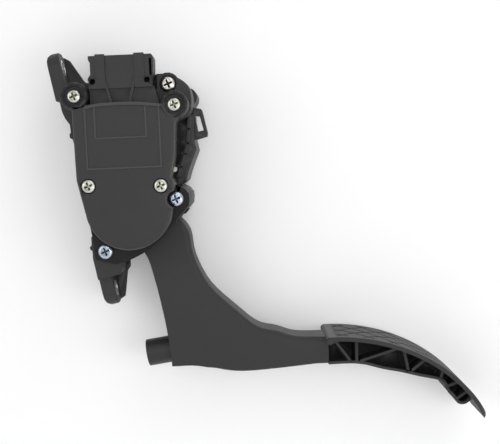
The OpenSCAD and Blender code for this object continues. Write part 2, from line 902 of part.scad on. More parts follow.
// The near side falls away below a crease that runs from the pad towards the heel
module crease_cut() {
  run = crease[0] - crease[1];
  fall = atan(crease_fall / 20);
  translate([crease[1][0], -half_arm, crease[1][1]])
    rotate([0, -atan2(run[1], run[0]), 0])
      rotate([-fall, 0, 0])
        translate([-40, -10, -50])
          cube([130, 10, 50]);
}

// Pockets cut from the far side
module pockets() {
  s = stations();
  slab(-half_arm + arm_skin, half_arm + eps)
    for (i = [0 : len(s) - 2])
      polygon(pocket(s[i], s[i + 1]));
}

// The pad's top as a cubic curve from its root to its tip
function pad_keys() = [pad_root, pad_root + [37.7, 0.7],
  pad_root + [pad_len - 16.8, -17.8], pad_root + [pad_len, -52]];
function pad_point(t) = bezier(pad_keys(), t);
function pad_side(t) = side(pad_point(min(t + 0.01, 1)) - pad_point(min(t, 0.99)));
function pad_line(depth, n = 22) = [for (i = [0 : n]) pad_point(i / n) - pad_side(i / n) * depth];

// A layer of the pad between two depths below its top
module pad_layer(d0, d1) {
  polygon(concat(pad_line(d0), reverse(pad_line(d1))));
}

// The pad's outline from above, as a bar along u with a round tip
module pad_plan() {
  tip = pad_root[0] + pad_len;
  translate([0, 0, -200])
    linear_extrude(200)
      union() {
        translate([pad_root[0] - 5, -pad_w / 2])
          square([pad_len + 5 - tip_r, pad_w]);
        translate([tip - 2 * tip_r, -pad_w / 2 + tip_r])
          square([2 * tip_r + 5, pad_w - 2 * tip_r]);
        for (s = [-1, 1])
          translate([tip - tip_r, s * (pad_w / 2 - tip_r)])
            circle(r = tip_r);
      }
}

module pad_plate() {
  difference() {
    intersection() {
      slab(-pad_w / 2, pad_w / 2)
        pad_layer(0, pad_t);
      pad_plan();
    }
    // crossed grooves in the top
    intersection() {
      slab(-pad_w / 2, pad_w / 2)
        pad_layer(-1, tread_depth);
      tread_plan();
    }
  }
  // rounded lip at the root, and the pad's heel over the arm's end
  rod(pad_root + [0.2, -lip_r], lip_r, -pad_w / 2, pad_w / 2);
  slab(-half_arm, half_arm)
    polygon([pad_root + [-1, -2.4], pad_root + [4, -1], pad_root + [4, -6], pad_root + [-6, -6],
      pad_root + [-6, -2.6]]);
}

// Two crossed sets of strips within the plain rim, seen from above
module tread_plan() {
  from = pad_root[0] + tread_rim;
  half = pad_w / 2 - tread_rim;
  count = ceil((tread_len + 2 * half) / tread_step);
  translate([0, 0, -200])
    linear_extrude(200)
      intersection() {
        translate([from, -half])
          square([tread_len, 2 * half]);
        for (i = [0 : count - 1], a = [-45, 45])
          translate([from - half + (i + 0.5) * tread_step, 0])
            rotate(a)
              square([4 * half, tread_w], center = true);
      }
}

// Ribs of the truss: each runs from a share of the pad's length to a point of the chord
function truss_ribs() = [[0.02, [12.6, -16.5]], [0.15, [16.4, -17]], [0.4, [18.4, -17]],
  [0.41, [46.8, -23.8]], [0.55, [48.8, -24]], [0.66, [66, -29]], [0.77, [68.5, -34.6]],
  [0.84, [74.5, -42.4]]];
function under_pad(t) = pad_point(t) - pad_side(t) * pad_t * 0.7;
function chord() = curve([[-0.5, -17.3], [13, -17.3], [22, -18.5], [32, -21.5], [43, -23.9],
  [53.4, -26.8], [65.5, -29.8], [69, -33.2], [69.8, -36.2], [74, -40.8], [76, -44.2],
  [80, -44.5], under_pad(0.88) - pad_root], 3);

module truss() {
  c = chord();
  slab(-truss_w / 2, truss_w / 2) {
    for (r = truss_ribs())
      strip(under_pad(r[0]), pad_root + r[1], truss_rib);
    translate(pad_root)
      for (i = [0 : len(c) - 2])
        strip(c[i], toward(c[i], c[i + 1], norm(c[i + 1] - c[i]) + 0.3), truss_rib);
  }
  // the web between the chord and the pad
  slab(-truss_rib / 2, truss_rib / 2)
    polygon(concat([for (q = c) pad_root + q],
      reverse([for (i = [0 : 18]) under_pad(i / 18 * 0.86)])));
}

// A round wire wound along Z from 0 to h
module coil(d, wire, h, turns) {
  sides = 6;
  per_turn = 14;
  rings = per_turn * turns;
  r = (d - wire) / 2;
  rise = h - wire;
  points = [for (i = [0 : rings], k = [0 : sides - 1]) let (
      a = 360 * i / per_turn, b = 360 * k / sides, q = r + wire / 2 * cos(b))
      [q * cos(a), q * sin(a), wire / 2 + rise * i / rings + wire / 2 * sin(b)]];
  faces = concat([[for (k = [sides - 1 : -1 : 0]) k]],
    [[for (k = [0 : sides - 1]) rings * sides + k]],
    [for (i = [0 : rings - 1], k = [0 : sides - 1]) let (n = (k + 1) % sides)
      [i * sides + n, (i + 1) * sides + n, (i + 1) * sides + k, i * sides + k]]);
  polyhedron(points, faces, convexity = 10);
}

// Places children with Z along the springs' axis, from the shoe's pocket to the seat
module at_spring() {
  translate([spring_u, 0, spring_v])
    rotate([0, 90, 0])
      children();
}

module return_spring_outer() {
  color(steel)
    at_pivot()
      at_spring()
        coil(spring_d, spring_wire, seat_u - spring_u, 6);
}

module return_spring_inner() {
  color(steel)
    at_pivot()
      at_spring()
        coil(inner_d, inner_wire, seat_u - spring_u, 7);
}

module spring_seat() {
  color([0.75, 0.73, 0.66])
    at_pivot()
      at_spring()
        translate([0, 0, seat_u - spring_u]) {
          cylinder(r = spring_d / 2 + 0.4, h = seat_t);
          translate([0, 0, -4])
            cylinder(r = inner_d / 2 - inner_wire - 0.5, h = 5);
        }
}

module friction_shoe() {
  color([0.75, 0.73, 0.66])
    at_pivot()
      at_spring()
        translate([0, 0, -shoe_t]) {
          cylinder(r = spring_d / 2 + 0.6, h = shoe_t);
          cylinder(r = inner_d / 2 - inner_wire - 0.5, h = shoe_t + 4);
        }
}

module stop_pad() {
  color([0.15, 0.15, 0.15])
    at_pivot()
      slab(-6, 6)
        polygon([[-25, 27], [-17, 27.5], [-17, 37.5], [-25, 38]]);
}

module kickdown_plunger() {
  color(deep_black)
    at_pivot()
      at_plunger()
        difference() {
          translate([0, 0, -plunger_out])
            cylinder(r = plunger_d / 2, h = plunger_out + plunger_bore - plunger_travel - 1);
          translate([0, 0, -plunger_out + 3])
            cylinder(r = plunger_d / 2 - 2, h = plunger_out + plunger_bore);
        }
}

module kickdown_spring() {
  color(steel)
    at_pivot()
      at_plunger()
        translate([0, 0, -plunger_out + 3])
          coil(plunger_d - 5, 1.2, plunger_out - 3 + plunger_bore, 9);
}

// One mounting sleeve
module mount_sleeve(z) {
  color(steel)
    translate([0, 0, z])
      rotate([0, 90, 0])
        difference() {
          cylinder(r = sleeve_d / 2, h = sleeve_len);
          translate([0, 0, -1])
            cylinder(r = hole_d / 2, h = sleeve_len + 2);
        }
}

module mount_sleeve_upper() {
  mount_sleeve(hole_up);
}

module mount_sleeve_lower() {
  mount_sleeve(-hole_up);
}

// A pan head screw with a cross recess, its head's underside at y
module screw(at, y, head_d, d, length) {
  translate([at[0], y, at[1]])
    rotate([90, 0, 0])
      difference() {
        union() {
          rotate_extrude()
            polygon([[0, 0], [head_d / 2, 0], [head_d / 2, screw_head_h * 0.45],
              [head_d / 2 - 0.5, screw_head_h * 0.8], [head_d / 2 - 1.4, screw_head_h],
              [0, screw_head_h]]);
          translate([0, 0, -length])
            cylinder(r = d / 2, h = length + eps);
        }
        for (a = [20, 110])
          rotate([0, 0, a])
            translate([-head_d * 0.29, -0.5, screw_head_h - 1.3])
              cube([head_d * 0.58, 1, 2]);
      }
}

module cover_screws() {
  color(zinc)
    at_pivot() {
      for (p = ring_at)
        screw(p, cover_y + well_h, screw_head_d, screw_d, cover_depth - well_h + 9);
      for (p = flush_at)
        screw(p, cover_y + 1.6, screw_head_d, screw_d, cover_depth - 1.6 + 9);
    }
}

module housing_screws() {
  color(steel)
    at_pivot() {
      screw(lug_at[0], front_y + 1.2, case_head_d, case_screw_d, front_depth + 11);
      for (i = [1, 2])
        screw(lug_at[i], front_y, case_head_d, case_screw_d, front_depth + 12);
    }
}

module locating_pin() {
  color([0.8, 0.78, 0.7])
    at_pivot()
      rod(pin_at, pin_r, recess_y - 8, -chamber_y - 0.1);
}

housing_front();
housing_rear();
sensor_cover();
cover_seal();
circuit_board();
sensor_chips();
terminals();
rotor();
rotor_magnet();
pedal_arm();
pivot_shaft();
bush_front();
bush_rear();
shaft_clip();
return_spring_outer();
return_spring_inner();
spring_seat();
friction_shoe();
stop_pad();
kickdown_plunger();
kickdown_spring();
mount_sleeve_upper();
mount_sleeve_lower();
cover_screws();
housing_screws();
locating_pin();
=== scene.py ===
# Looks of the accelerator pedal sensor: finishes, edges, springs, camera, light and stage.
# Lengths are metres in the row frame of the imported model, except where mm is named.
import json
import math

import bpy
from mathutils import Matrix, Vector


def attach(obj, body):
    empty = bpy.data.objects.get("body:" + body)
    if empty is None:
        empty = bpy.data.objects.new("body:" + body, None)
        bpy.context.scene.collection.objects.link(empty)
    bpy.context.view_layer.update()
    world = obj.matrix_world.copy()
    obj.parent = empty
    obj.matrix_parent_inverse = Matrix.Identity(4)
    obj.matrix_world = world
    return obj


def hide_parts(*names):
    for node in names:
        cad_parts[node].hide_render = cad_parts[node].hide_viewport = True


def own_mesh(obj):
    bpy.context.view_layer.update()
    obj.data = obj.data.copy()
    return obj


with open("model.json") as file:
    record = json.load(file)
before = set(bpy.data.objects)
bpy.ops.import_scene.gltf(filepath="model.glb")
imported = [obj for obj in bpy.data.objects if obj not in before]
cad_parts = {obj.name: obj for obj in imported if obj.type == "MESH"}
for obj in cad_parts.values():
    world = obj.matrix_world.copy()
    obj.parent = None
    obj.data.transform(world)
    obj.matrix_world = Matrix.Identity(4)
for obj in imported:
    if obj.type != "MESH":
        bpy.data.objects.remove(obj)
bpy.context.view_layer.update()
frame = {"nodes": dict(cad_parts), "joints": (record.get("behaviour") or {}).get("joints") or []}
NODES = frame["nodes"]
JOINTS = {joint["name"]: joint for joint in frame["joints"]}

MM = 0.001
WHITE = (1.0, 1.0, 1.0, 1.0)
BLACK = (0.0, 0.0, 0.0, 1.0)

# The body leans about the pivot, and its outlines are drawn in its own plane, in mm
PIVOT = Vector(JOINTS["pedal_hinge"]["pos_m"])
TILT = math.radians(10.5)
ALONG_U = Vector((math.cos(TILT), 0.0, -math.sin(TILT)))
ALONG_V = Vector((math.sin(TILT), 0.0, math.cos(TILT)))
PLUNGER_AXIS = Vector(JOINTS["kickdown_slide"]["axis"])

# Depths of the main faces along Y
COVER_FACE = -38.0 * MM
SHELL_FACE = -26.0 * MM
ARM_SIDE = -11.0 * MM
CREASE_FALL = 1.2 * MM

# The arm's stretch that is clear of the housing and the pad, along X
ARM_CLEAR_X = 55.0 * MM
PAD_ROOT_X = 118.0 * MM

# Axes of the screws in the body's plane, in mm
RING_SCREWS = [(-27.3, 62.5), (28.1, 55.7)]
FLUSH_SCREWS = [(-21.7, 12.3), (18.6, 11.0)]
HOUSING_SCREWS = [(24.3, 68.1), (25.9, 2.9), (-15.8, -25.4)]

# Depths of the screws' crowns along Y, how much deeper the upper ones lie, and the height
# that parts the upper ones from the lower
COVER_CROWN = -38.8 * MM
COVER_CROWN_STEP = 1.0 * MM
COVER_SPLIT_Z = 10.0 * MM
HOUSING_CROWN = -28.4 * MM
HOUSING_CROWN_STEP = 1.2 * MM
HOUSING_SPLIT_Z = 0.0

# Camera: the photograph looks along +Y, rolled, from slightly above
CAMERA_AIM = Vector((0.0946, 0.0, -0.0468))
CAMERA_DISTANCE = 0.540
CAMERA_ROLL = math.radians(13.0)
CAMERA_RISE = math.radians(3.6)
CAMERA_LENS_MM = 64.8

# Stage: half the sheets' width, the backdrop's place, the floor's drop below the camera's
# aim, and the share of white that the camera sees in each sheet
STAGE_REACH = 1.6
BACKDROP_Y = 0.027
FLOOR_DROP = 0.36
BACKDROP_LIFT = 0.06
FLOOR_LIFT = 0.5

# Light: the world's strength, then each lamp's name, place, width and watts
WORLD_STRENGTH = 0.59
LAMPS = [
    ("key", (0.75, -0.75, 0.95), 0.8, 3.0),
    ("fill", (-0.8, -0.9, 0.35), 0.9, 3.9),
    ("front", (0.15, -1.0, 0.05), 0.4, 1.1),
    ("low", (0.55, -0.7, -0.32), 0.5, 2.3),
    ("rear", (0.5, 1.0, 0.7), 0.9, 8.0),
]


def grey(level):
    """Linear colour of a grey 8-bit display level."""
    c = level / 255
    linear = c / 12.92 if c <= 0.04045 else ((c + 0.055) / 1.055) ** 2.4
    return (linear, linear, linear, 1.0)


def scaled(colour, factor):
    """The colour with its strength multiplied, kept below white."""
    return tuple(min(1.0, c * factor) for c in colour[:3]) + (1.0,)


def body_point(u, v, y=0.0):
    """Point of the row frame at (u, v) mm in the body's plane, at depth y in metres."""
    return PIVOT + ALONG_U * (u * MM) + ALONG_V * (v * MM) + Vector((0.0, y, 0.0))


def feed(tree, slot, value):
    """Gives an input its value: a link from a socket, or a fixed number, colour or vector."""
    if isinstance(value, bpy.types.NodeSocket):
        tree.links.new(value, slot)
    else:
        slot.default_value = value


def add(tree, kind, **sockets):
    """Adds a node and sets its inputs by name."""
    n = tree.nodes.new(kind)
    for name, value in sockets.items():
        n.inputs[name.replace("_", " ")].default_value = value
    return n


def maths(tree, operation, a, b):
    """Result of an operation on two inputs, each a socket or a number."""
    n = tree.nodes.new("ShaderNodeMath")
    n.operation = operation
    feed(tree, n.inputs[0], a)
    feed(tree, n.inputs[1], b)
    return n.outputs[0]


def vector_maths(tree, operation, a, b, output):
    """Named output of a vector operation between a socket and a fixed vector."""
    n = tree.nodes.new("ShaderNodeVectorMath")
    n.operation = operation
    feed(tree, n.inputs[0], a)
    feed(tree, n.inputs[1], b)
    return n.outputs[output]


def product(tree, *factors):
    """Product of two or more factors, each a socket or a number."""
    result = factors[0]
    for factor in factors[1:]:
        result = maths(tree, "MULTIPLY", result, factor)
    return result


def reach(tree, point, direction):
    """How far a point lies along a direction from the row frame's origin."""
    return vector_maths(tree, "DOT_PRODUCT", point, direction, "Value")


def gap_to(tree, point, centre):
    """Distance of a point from a fixed centre."""
    return vector_maths(tree, "DISTANCE", point, centre, "Value")


def place(tree):
    """The surface point in the row frame."""
    return tree.nodes.new("ShaderNodeTexCoord").outputs["Object"]


def depth_in(tree):
    """Depth of the surface point along Y."""
    return reach(tree, place(tree), (0.0, 1.0, 0.0))


def height_up(tree):
    """Height of the surface point above the pivot, along the leaning body."""
    return maths(tree, "SUBTRACT", reach(tree, place(tree), ALONG_V), PIVOT.dot(ALONG_V))


def noise(tree, scale, detail, rough):
    """Noise in the row frame's own coordinates, with features of about 1/scale metres."""
    n = add(tree, "ShaderNodeTexNoise", Scale=scale, Detail=detail, Roughness=rough)
    tree.links.new(place(tree), n.inputs["Vector"])
    return n.outputs["Fac"]


def spread_out(tree, source, start, end, low, high):
    """Maps a source from start..end to low..high, smoothly and within those limits."""
    n = tree.nodes.new("ShaderNodeMapRange")
    n.interpolation_type = "SMOOTHSTEP"
    tree.links.new(source, n.inputs["Value"])
    for name, value in zip(("From Min", "From Max", "To Min", "To Max"), (start, end, low, high)):
        n.inputs[name].default_value = value
    return n.outputs["Result"]


def blend_colour(tree, share, first, second, how="MIX"):
    """Blends two colours, each a socket or fixed, by a share that is a socket or a number."""
    n = tree.nodes.new("ShaderNodeMix")
    n.data_type = "RGBA"
    n.blend_type = how
    feed(tree, n.inputs[0], share)
    feed(tree, n.inputs[6], first)
    feed(tree, n.inputs[7], second)
    return n.outputs[2]


def clouded(tree, source, start, end, colour, spread):
    """The colour, made darker and lighter by a share where a noise is low and high."""
    clouds = spread_out(tree, source, start, end, 0.0, 1.0)
    return blend_colour(tree, clouds, scaled(colour, 1 - spread), scaled(colour, 1 + spread))


def material(name):
    """A new node material with its tree and its Principled shader."""
    m = bpy.data.materials.new(name)
    m.use_nodes = True
    return m, m.node_tree, m.node_tree.nodes["Principled BSDF"]


def finish_surface(tree, shader, fine, rough, spread, bump, rise):
    """Roughness and relief from one fine noise; rise is the relief's height."""
    tree.links.new(spread_out(tree, fine, 0.0, 1.0, rough - spread, rough + spread),
                   shader.inputs["Roughness"])
    relief = add(tree, "ShaderNodeBump", Strength=bump, Distance=rise)
    tree.links.new(fine, relief.inputs["Height"])
    tree.links.new(relief.outputs["Normal"], shader.inputs["Normal"])


# Moulded plastic: how strongly it mirrors, its grain's height, how softly the painted highlights
# on raised marks and on the rim begin, and the radius kept free of rim highlight round a flush screw
PLASTIC_SPECULAR = 0.42
GRAIN_HEIGHT = 0.08 * MM
HIGHLIGHT_FADE = 0.1 * MM
RIM_HIGHLIGHT_FADE = 0.7 * MM
RIM_HIGHLIGHT_CLEAR = 5.0 * MM


def painted_rim_highlight(tree, start, end, top):
    """Share of the painted rim highlight: between two depths, below a height, clear of the flush
    screws.
    """
    # Painted highlight on the cover's rounded rim
    y = depth_in(tree)
    share = product(tree, spread_out(tree, y, start, start + RIM_HIGHLIGHT_FADE, 0.0, 1.0),
                    maths(tree, "LESS_THAN", y, end),
                    maths(tree, "LESS_THAN", height_up(tree), top))
    for u, v in FLUSH_SCREWS:
        gap = gap_to(tree, place(tree), body_point(u, v, COVER_FACE))
        share = product(tree, share, maths(tree, "GREATER_THAN", gap, RIM_HIGHLIGHT_CLEAR))
    return share


def moulded(name, colour, rough, grain, bump, spread, painted_highlight=None, rim=None, painted_shade=None):
    """Moulded plastic: cloudy colour and spark-eroded grain.

    Painted highlight is (depth, factor): what stands nearer than that depth is lighter, a painted
    highlight on the raised marks.
    Rim is (start, end, top, factor): a painted highlight on the rounded rim, between two depths and
    below a height, clear of the flush screws.
    Painted shade is (low, high, factor): from the height high down to low, colour and gloss darken
    as painted shade.
    """
    m, tree, shader = material(name)
    shader.inputs["Specular IOR Level"].default_value = PLASTIC_SPECULAR
    tone = clouded(tree, noise(tree, 45.0, 5.0, 0.6), 0.3, 0.7, colour, spread)
    # Painted highlight on the raised marks: what stands nearer than a depth is lighter.
    if painted_highlight:
        depth, factor = painted_highlight
        raised = spread_out(tree, depth_in(tree), depth - HIGHLIGHT_FADE, depth, 1.0, 0.0)
        tone = blend_colour(tree, raised, tone, scaled(colour, factor))
    # Painted highlight on the cover's rounded rim.
    if rim:
        *limits, factor = rim
        tone = blend_colour(tree, painted_rim_highlight(tree, *limits), tone, scaled(colour, factor))
    # Painted shade: colour and gloss darken towards the bottom.
    if painted_shade:
        low, high, factor = painted_shade
        height = height_up(tree)
        shade_share = spread_out(tree, height, low, high, 1.0, 0.0)
        tone = blend_colour(tree, shade_share, tone, scaled(colour, factor))
        gloss = spread_out(tree, height, low, high, PLASTIC_SPECULAR * factor, PLASTIC_SPECULAR)
        tree.links.new(gloss, shader.inputs["Specular IOR Level"])
    tree.links.new(tone, shader.inputs["Base Color"])
    finish_surface(tree, shader, noise(tree, grain, 2.0, 0.5), rough, 0.07, bump, GRAIN_HEIGHT)
    return m


SCRATCH_HEIGHT = 0.05 * MM


def metal(name, colour, rough):
    """Plated or turned metal: uneven tone, fine scratches in roughness and relief."""
    m, tree, shader = material(name)
    shader.inputs["Metallic"].default_value = 1.0
    tone = clouded(tree, noise(tree, 420.0, 4.0, 0.65), 0.35, 0.65, colour, 0.12)
    tree.links.new(tone, shader.inputs["Base Color"])
    finish_surface(tree, shader, noise(tree, 900.0, 3.0, 0.6), rough, 0.1, 0.12, SCRATCH_HEIGHT)
    return m


# Screw heads: radii over which the crown's stain ends, the recess's painted shade ends, and the
# cross's middle passes into its arms; depths below the crown over which the recess's painted shade
# begins
CROWN_END = (2.3 * MM, 3.0 * MM)
RECESS_END = (2.5 * MM, 2.7 * MM)
CROSS_MIDDLE = (0.4 * MM, 1.1 * MM)
RECESS_DEPTH = (0.15 * MM, 0.8 * MM)
STAIN = (0.55, 0.55, 0.52, 1.0)


def from_axis(tree, point, axes):
    """Distance of a point from the nearest of the screws' axes."""
    flat = vector_maths(tree, "MULTIPLY", point, (1.0, 0.0, 1.0), "Vector")
    gaps = [gap_to(tree, flat, body_point(u, v)) for u, v in axes]
    radius = gaps[0]
    for gap in gaps[1:]:
        radius = maths(tree, "MINIMUM", radius, gap)
    return radius


def screw_metal(name, axes, crown, step, split_z, upper, lower, rough, cross, upper_cross):
    """Plated screws: a bright rim, a stained crown and painted shade in the cross recess.

    Axes are the screws' places in the body's plane. The crowns of those below the height
    split_z lie at the depth crown, and the others' lie deeper by step, plated in the upper
    colour. Cross is how bright the painted shade leaves the lower screws' recess, in its middle
    and in its arms, and upper_cross the same for the upper ones, all over.
    """
    m, tree, shader = material(name)
    shader.inputs["Metallic"].default_value = 1.0
    point = place(tree)
    radius = from_axis(tree, point, axes)
    above = maths(tree, "GREATER_THAN", reach(tree, point, (0.0, 0.0, 1.0)), split_z)
    plating = blend_colour(tree, above, lower, upper)

    mottled = spread_out(tree, noise(tree, 520.0, 4.0, 0.65), 0.35, 0.65, 0.0, 1.0)
    stained = blend_colour(tree, mottled, STAIN, WHITE)
    crown_share = spread_out(tree, radius, *CROWN_END, 1.0, 0.1)
    stain = blend_colour(tree, crown_share, WHITE, stained)
    tone = blend_colour(tree, 1.0, plating, stain, "MULTIPLY")

    # Painted shade in the cross recess: darker below the crown, lighter at the lower screws' cross
    # middle.
    depth = maths(tree, "SUBTRACT", reach(tree, point, (0.0, 1.0, 0.0)), crown)
    sunk = maths(tree, "SUBTRACT", depth, product(tree, above, step))
    recess_shade_share = product(tree, spread_out(tree, sunk, *RECESS_DEPTH, 0.0, 1.0),
                     spread_out(tree, radius, *RECESS_END, 1.0, 0.0))
    below = maths(tree, "SUBTRACT", 1.0, above)
    lower_cross = product(tree, spread_out(tree, radius, *CROSS_MIDDLE, *cross), below)
    bright = maths(tree, "ADD", lower_cross, product(tree, above, upper_cross))
    recess = blend_colour(tree, bright, BLACK, plating)

    tree.links.new(blend_colour(tree, recess_shade_share, tone, recess), shader.inputs["Base Color"])
    finish_surface(tree, shader, noise(tree, 900.0, 3.0, 0.6), rough, 0.1, 0.1, SCRATCH_HEIGHT)
    return m


YELLOW_ZINC = (0.62, 0.64, 0.56, 1.0)
BLUE_ZINC = (0.50, 0.57, 0.67, 1.0)
NICKEL = (0.66, 0.63, 0.61, 1.0)

# Moulded finishes give colour, roughness, grain, relief and spread of tone, in that order
FINISHES = {
    "cover": moulded("CoverPlastic", grey(38), 0.56, 2200.0, 0.35, 0.07,
                     # painted highlight on the raised marks
                     painted_highlight=(COVER_FACE - 0.25 * MM, 2.1),
                     # painted highlight on the rounded rim
                     rim=(COVER_FACE + 0.2 * MM, COVER_FACE + 2.0 * MM, 57 * MM, 2.6)),
    # Front shell: painted shade, darker in colour and gloss towards the bottom.
    "front shell": moulded("FrontShellShadedPlastic", grey(38), 0.52, 2600.0, 0.25, 0.10,
                           painted_shade=(4 * MM, 20 * MM, 0.5)),
    "housing": moulded("HousingPlastic", grey(40), 0.52, 2600.0, 0.25, 0.12),
    "arm": moulded("ArmPlastic", grey(37), 0.60, 3000.0, 0.22, 0.05),
    "plunger": moulded("PlungerPlastic", grey(34), 0.45, 1800.0, 0.10, 0.05),
    "natural": moulded("NaturalPlastic", (0.60, 0.57, 0.48, 1.0), 0.4, 1500.0, 0.1, 0.06),
    "rubber": moulded("SealRubber", grey(30), 0.75, 1200.0, 0.2, 0.1),
    "board": moulded("BoardLacquer", (0.02, 0.12, 0.05, 1.0), 0.35, 900.0, 0.1, 0.15),
    "chip": moulded("ChipResin", grey(34), 0.5, 1800.0, 0.1, 0.05),
    "magnet": metal("MagnetSinter", (0.12, 0.12, 0.13, 1.0), 0.6),
    "bronze": metal("BushBronze", (0.55, 0.36, 0.17, 1.0), 0.4),
    "tin": metal("TinnedTerminal", (0.75, 0.7, 0.55, 1.0), 0.3),
    "steel": metal("BrightSteel", (0.72, 0.73, 0.74, 1.0), 0.28),
    "spring": metal("SpringSteel", (0.35, 0.35, 0.36, 1.0), 0.35),
    "cover screws": screw_metal(
        "CoverScrewPlating", RING_SCREWS + FLUSH_SCREWS,
        crown=COVER_CROWN, step=COVER_CROWN_STEP, split_z=COVER_SPLIT_Z,
        upper=YELLOW_ZINC, lower=YELLOW_ZINC, rough=0.34, cross=(0.6, 0.16), upper_cross=0.25),
    "housing screws": screw_metal(
        "HousingScrewPlating", HOUSING_SCREWS,
        crown=HOUSING_CROWN, step=HOUSING_CROWN_STEP, split_z=HOUSING_SPLIT_Z,
        upper=NICKEL, lower=BLUE_ZINC, rough=0.28, cross=(0.12, 0.2), upper_cross=0.02),
}

# Finish and edge radius in mm of every CAD node
LOOKS = {
    "housing_front": ("front shell", 0.3),
    "housing_rear": ("housing", 0.4),
    "sensor_cover": ("cover", 0.15),
    "cover_seal": ("rubber", 0),
    "circuit_board": ("board", 0),
    "sensor_chips": ("chip", 0),
    "terminals": ("tin", 0),
    "rotor": ("natural", 0),
    "rotor_magnet": ("magnet", 0),
    "pedal_arm": ("arm", 0.3),
    "pivot_shaft": ("steel", 0),
    "bush_front": ("bronze", 0),
    "bush_rear": ("bronze", 0),
    "shaft_clip": ("spring", 0),
    "return_spring_outer": ("spring", 0),
    "return_spring_inner": ("spring", 0),
    "spring_seat": ("natural", 0),
    "friction_shoe": ("natural", 0),
    "stop_pad": ("rubber", 0),
    "kickdown_plunger": ("plunger", 0.5),
    "kickdown_spring": ("spring", 0),
    "mount_sleeve_upper": ("steel", 0.3),
    "mount_sleeve_lower": ("steel", 0.3),
    "cover_screws": ("cover screws", 0.15),
    "housing_screws": ("housing screws", 0.15),
    "locating_pin": ("natural", 0.3),
}

# Rounding: the bend from which an edge is rounded, and the gap that is welded shut first
EDGE_ANGLE = math.radians(32)
WELD_GAP = 0.02 * MM

# Zones: how far an edge may lie off a face's depth, and behind the arm's crease, where the
# front shell's right side begins and ends along u, and the radii kept clear round screws
FACE_SLACK = 0.05 * MM
CREASE_SLACK = 0.6 * MM
SHELL_RIGHT = PIVOT.dot(ALONG_U) + 29.5 * MM
FAR_RIGHT = 1.0
FLUSH_CLEAR = 5.5 * MM
HOUSING_CLEAR = 4.8 * MM

# Where edges are well rounded: the radius in mm, then tests (direction, low, high) on the
# edge's middle, and round places (point, radius) that the zone leaves out
SOFT_ZONES = {
    "sensor_cover": (2.0,
                     [((0, 1, 0), COVER_FACE - FACE_SLACK, COVER_FACE + FACE_SLACK)],
                     [(body_point(u, v, COVER_FACE), FLUSH_CLEAR) for u, v in FLUSH_SCREWS]),
    "housing_front": (0.8,
                      [((0, 1, 0), SHELL_FACE - FACE_SLACK, SHELL_FACE + FACE_SLACK),
                       (ALONG_U, SHELL_RIGHT, FAR_RIGHT)],
                      [(body_point(u, v, SHELL_FACE), HOUSING_CLEAR) for u, v in HOUSING_SCREWS]),
    "pedal_arm": (3.0,
                  [((0, 1, 0), ARM_SIDE - FACE_SLACK, ARM_SIDE + CREASE_FALL + CREASE_SLACK),
                   ((1, 0, 0), ARM_CLEAR_X, PAD_ROOT_X)],
                  []),
}

# Tight corners that stay sharp, as point and radius in mm: (u, v, y), r
TIGHT_CORNERS = {
    "housing_front": [((22.0, 45.0, -26), 8.0), ((26.2, 75.3, -26), 6.0)],
    "housing_rear": [((36.9, 53.1, -12), 2.0), ((32.0, 21.8, 0), 2.0)],
    "sensor_cover": [((-19.4, 71.6, -37), 4.0), ((16.7, 71.6, -37), 4.0)],
    "pedal_arm": [((202.5, -133.5, 0), 17.0)],
}


def edge_weights(name, small, tests, holes, corners):
    """Node group that weights convex edges for the bevel.

    The weight is 1 where all tests hold outside the holes, small elsewhere, and 0 in the
    tight corners.
    """
    tree = bpy.data.node_groups.new(name, "GeometryNodeTree")
    tree.is_modifier = True
    for way in ("INPUT", "OUTPUT"):
        tree.interface.new_socket("Geometry", in_out=way, socket_type="NodeSocketGeometry")
    start = tree.nodes.new("NodeGroupInput")
    end = tree.nodes.new("NodeGroupOutput")
    angle = tree.nodes.new("GeometryNodeInputMeshEdgeAngle").outputs["Signed Angle"]
    where = tree.nodes.new("GeometryNodeInputPosition").outputs[0]
    soft = 1.0
    for direction, low, high in tests:
        along = reach(tree, where, direction)
        soft = product(tree, soft, maths(tree, "GREATER_THAN", along, low),
                       maths(tree, "LESS_THAN", along, high))
    for point, radius in holes:
        soft = product(tree, soft, maths(tree, "GREATER_THAN", gap_to(tree, where, point), radius))
    sharp = maths(tree, "GREATER_THAN", angle, EDGE_ANGLE)
    for (u, v, y), radius in corners:
        gap = gap_to(tree, where, body_point(u, v, y * MM))
        sharp = product(tree, sharp, maths(tree, "GREATER_THAN", gap, radius * MM))
    store = add(tree, "GeometryNodeStoreNamedAttribute", Name="bevel_weight_edge")
    store.data_type = "FLOAT"
    store.domain = "EDGE"
    weight = [s for s in store.inputs if s.name == "Value" and s.enabled][0]
    tree.links.new(product(tree, maths(tree, "MAXIMUM", soft, small), sharp), weight)
    tree.links.new(start.outputs[0], store.inputs["Geometry"])
    tree.links.new(store.outputs["Geometry"], end.inputs[0])
    return tree


def dress(name, finish, edge_mm):
    """Gives a CAD node its finish and rounds its edges."""
    piece = NODES[name]
    piece.data.materials.clear()
    piece.data.materials.append(FINISHES[finish])
    if not edge_mm:
        return
    weld = piece.modifiers.new("weld", "WELD")
    weld.merge_threshold = WELD_GAP
    radius_mm, tests, holes = SOFT_ZONES.get(name, (edge_mm, [], []))
    weights = piece.modifiers.new("weights", "NODES")
    weights.node_group = edge_weights(name + "_edges", edge_mm / radius_mm, tests, holes,
                                      TIGHT_CORNERS.get(name, []))
    bevel = piece.modifiers.new("edges", "BEVEL")
    bevel.limit_method = "WEIGHT"
    bevel.width = radius_mm * MM
    bevel.segments = 4 if name in SOFT_ZONES else 3
    bevel.loop_slide = False
    bevel.use_clamp_overlap = False
    normals = piece.modifiers.new("normals", "WEIGHTED_NORMAL")
    normals.keep_sharp = False


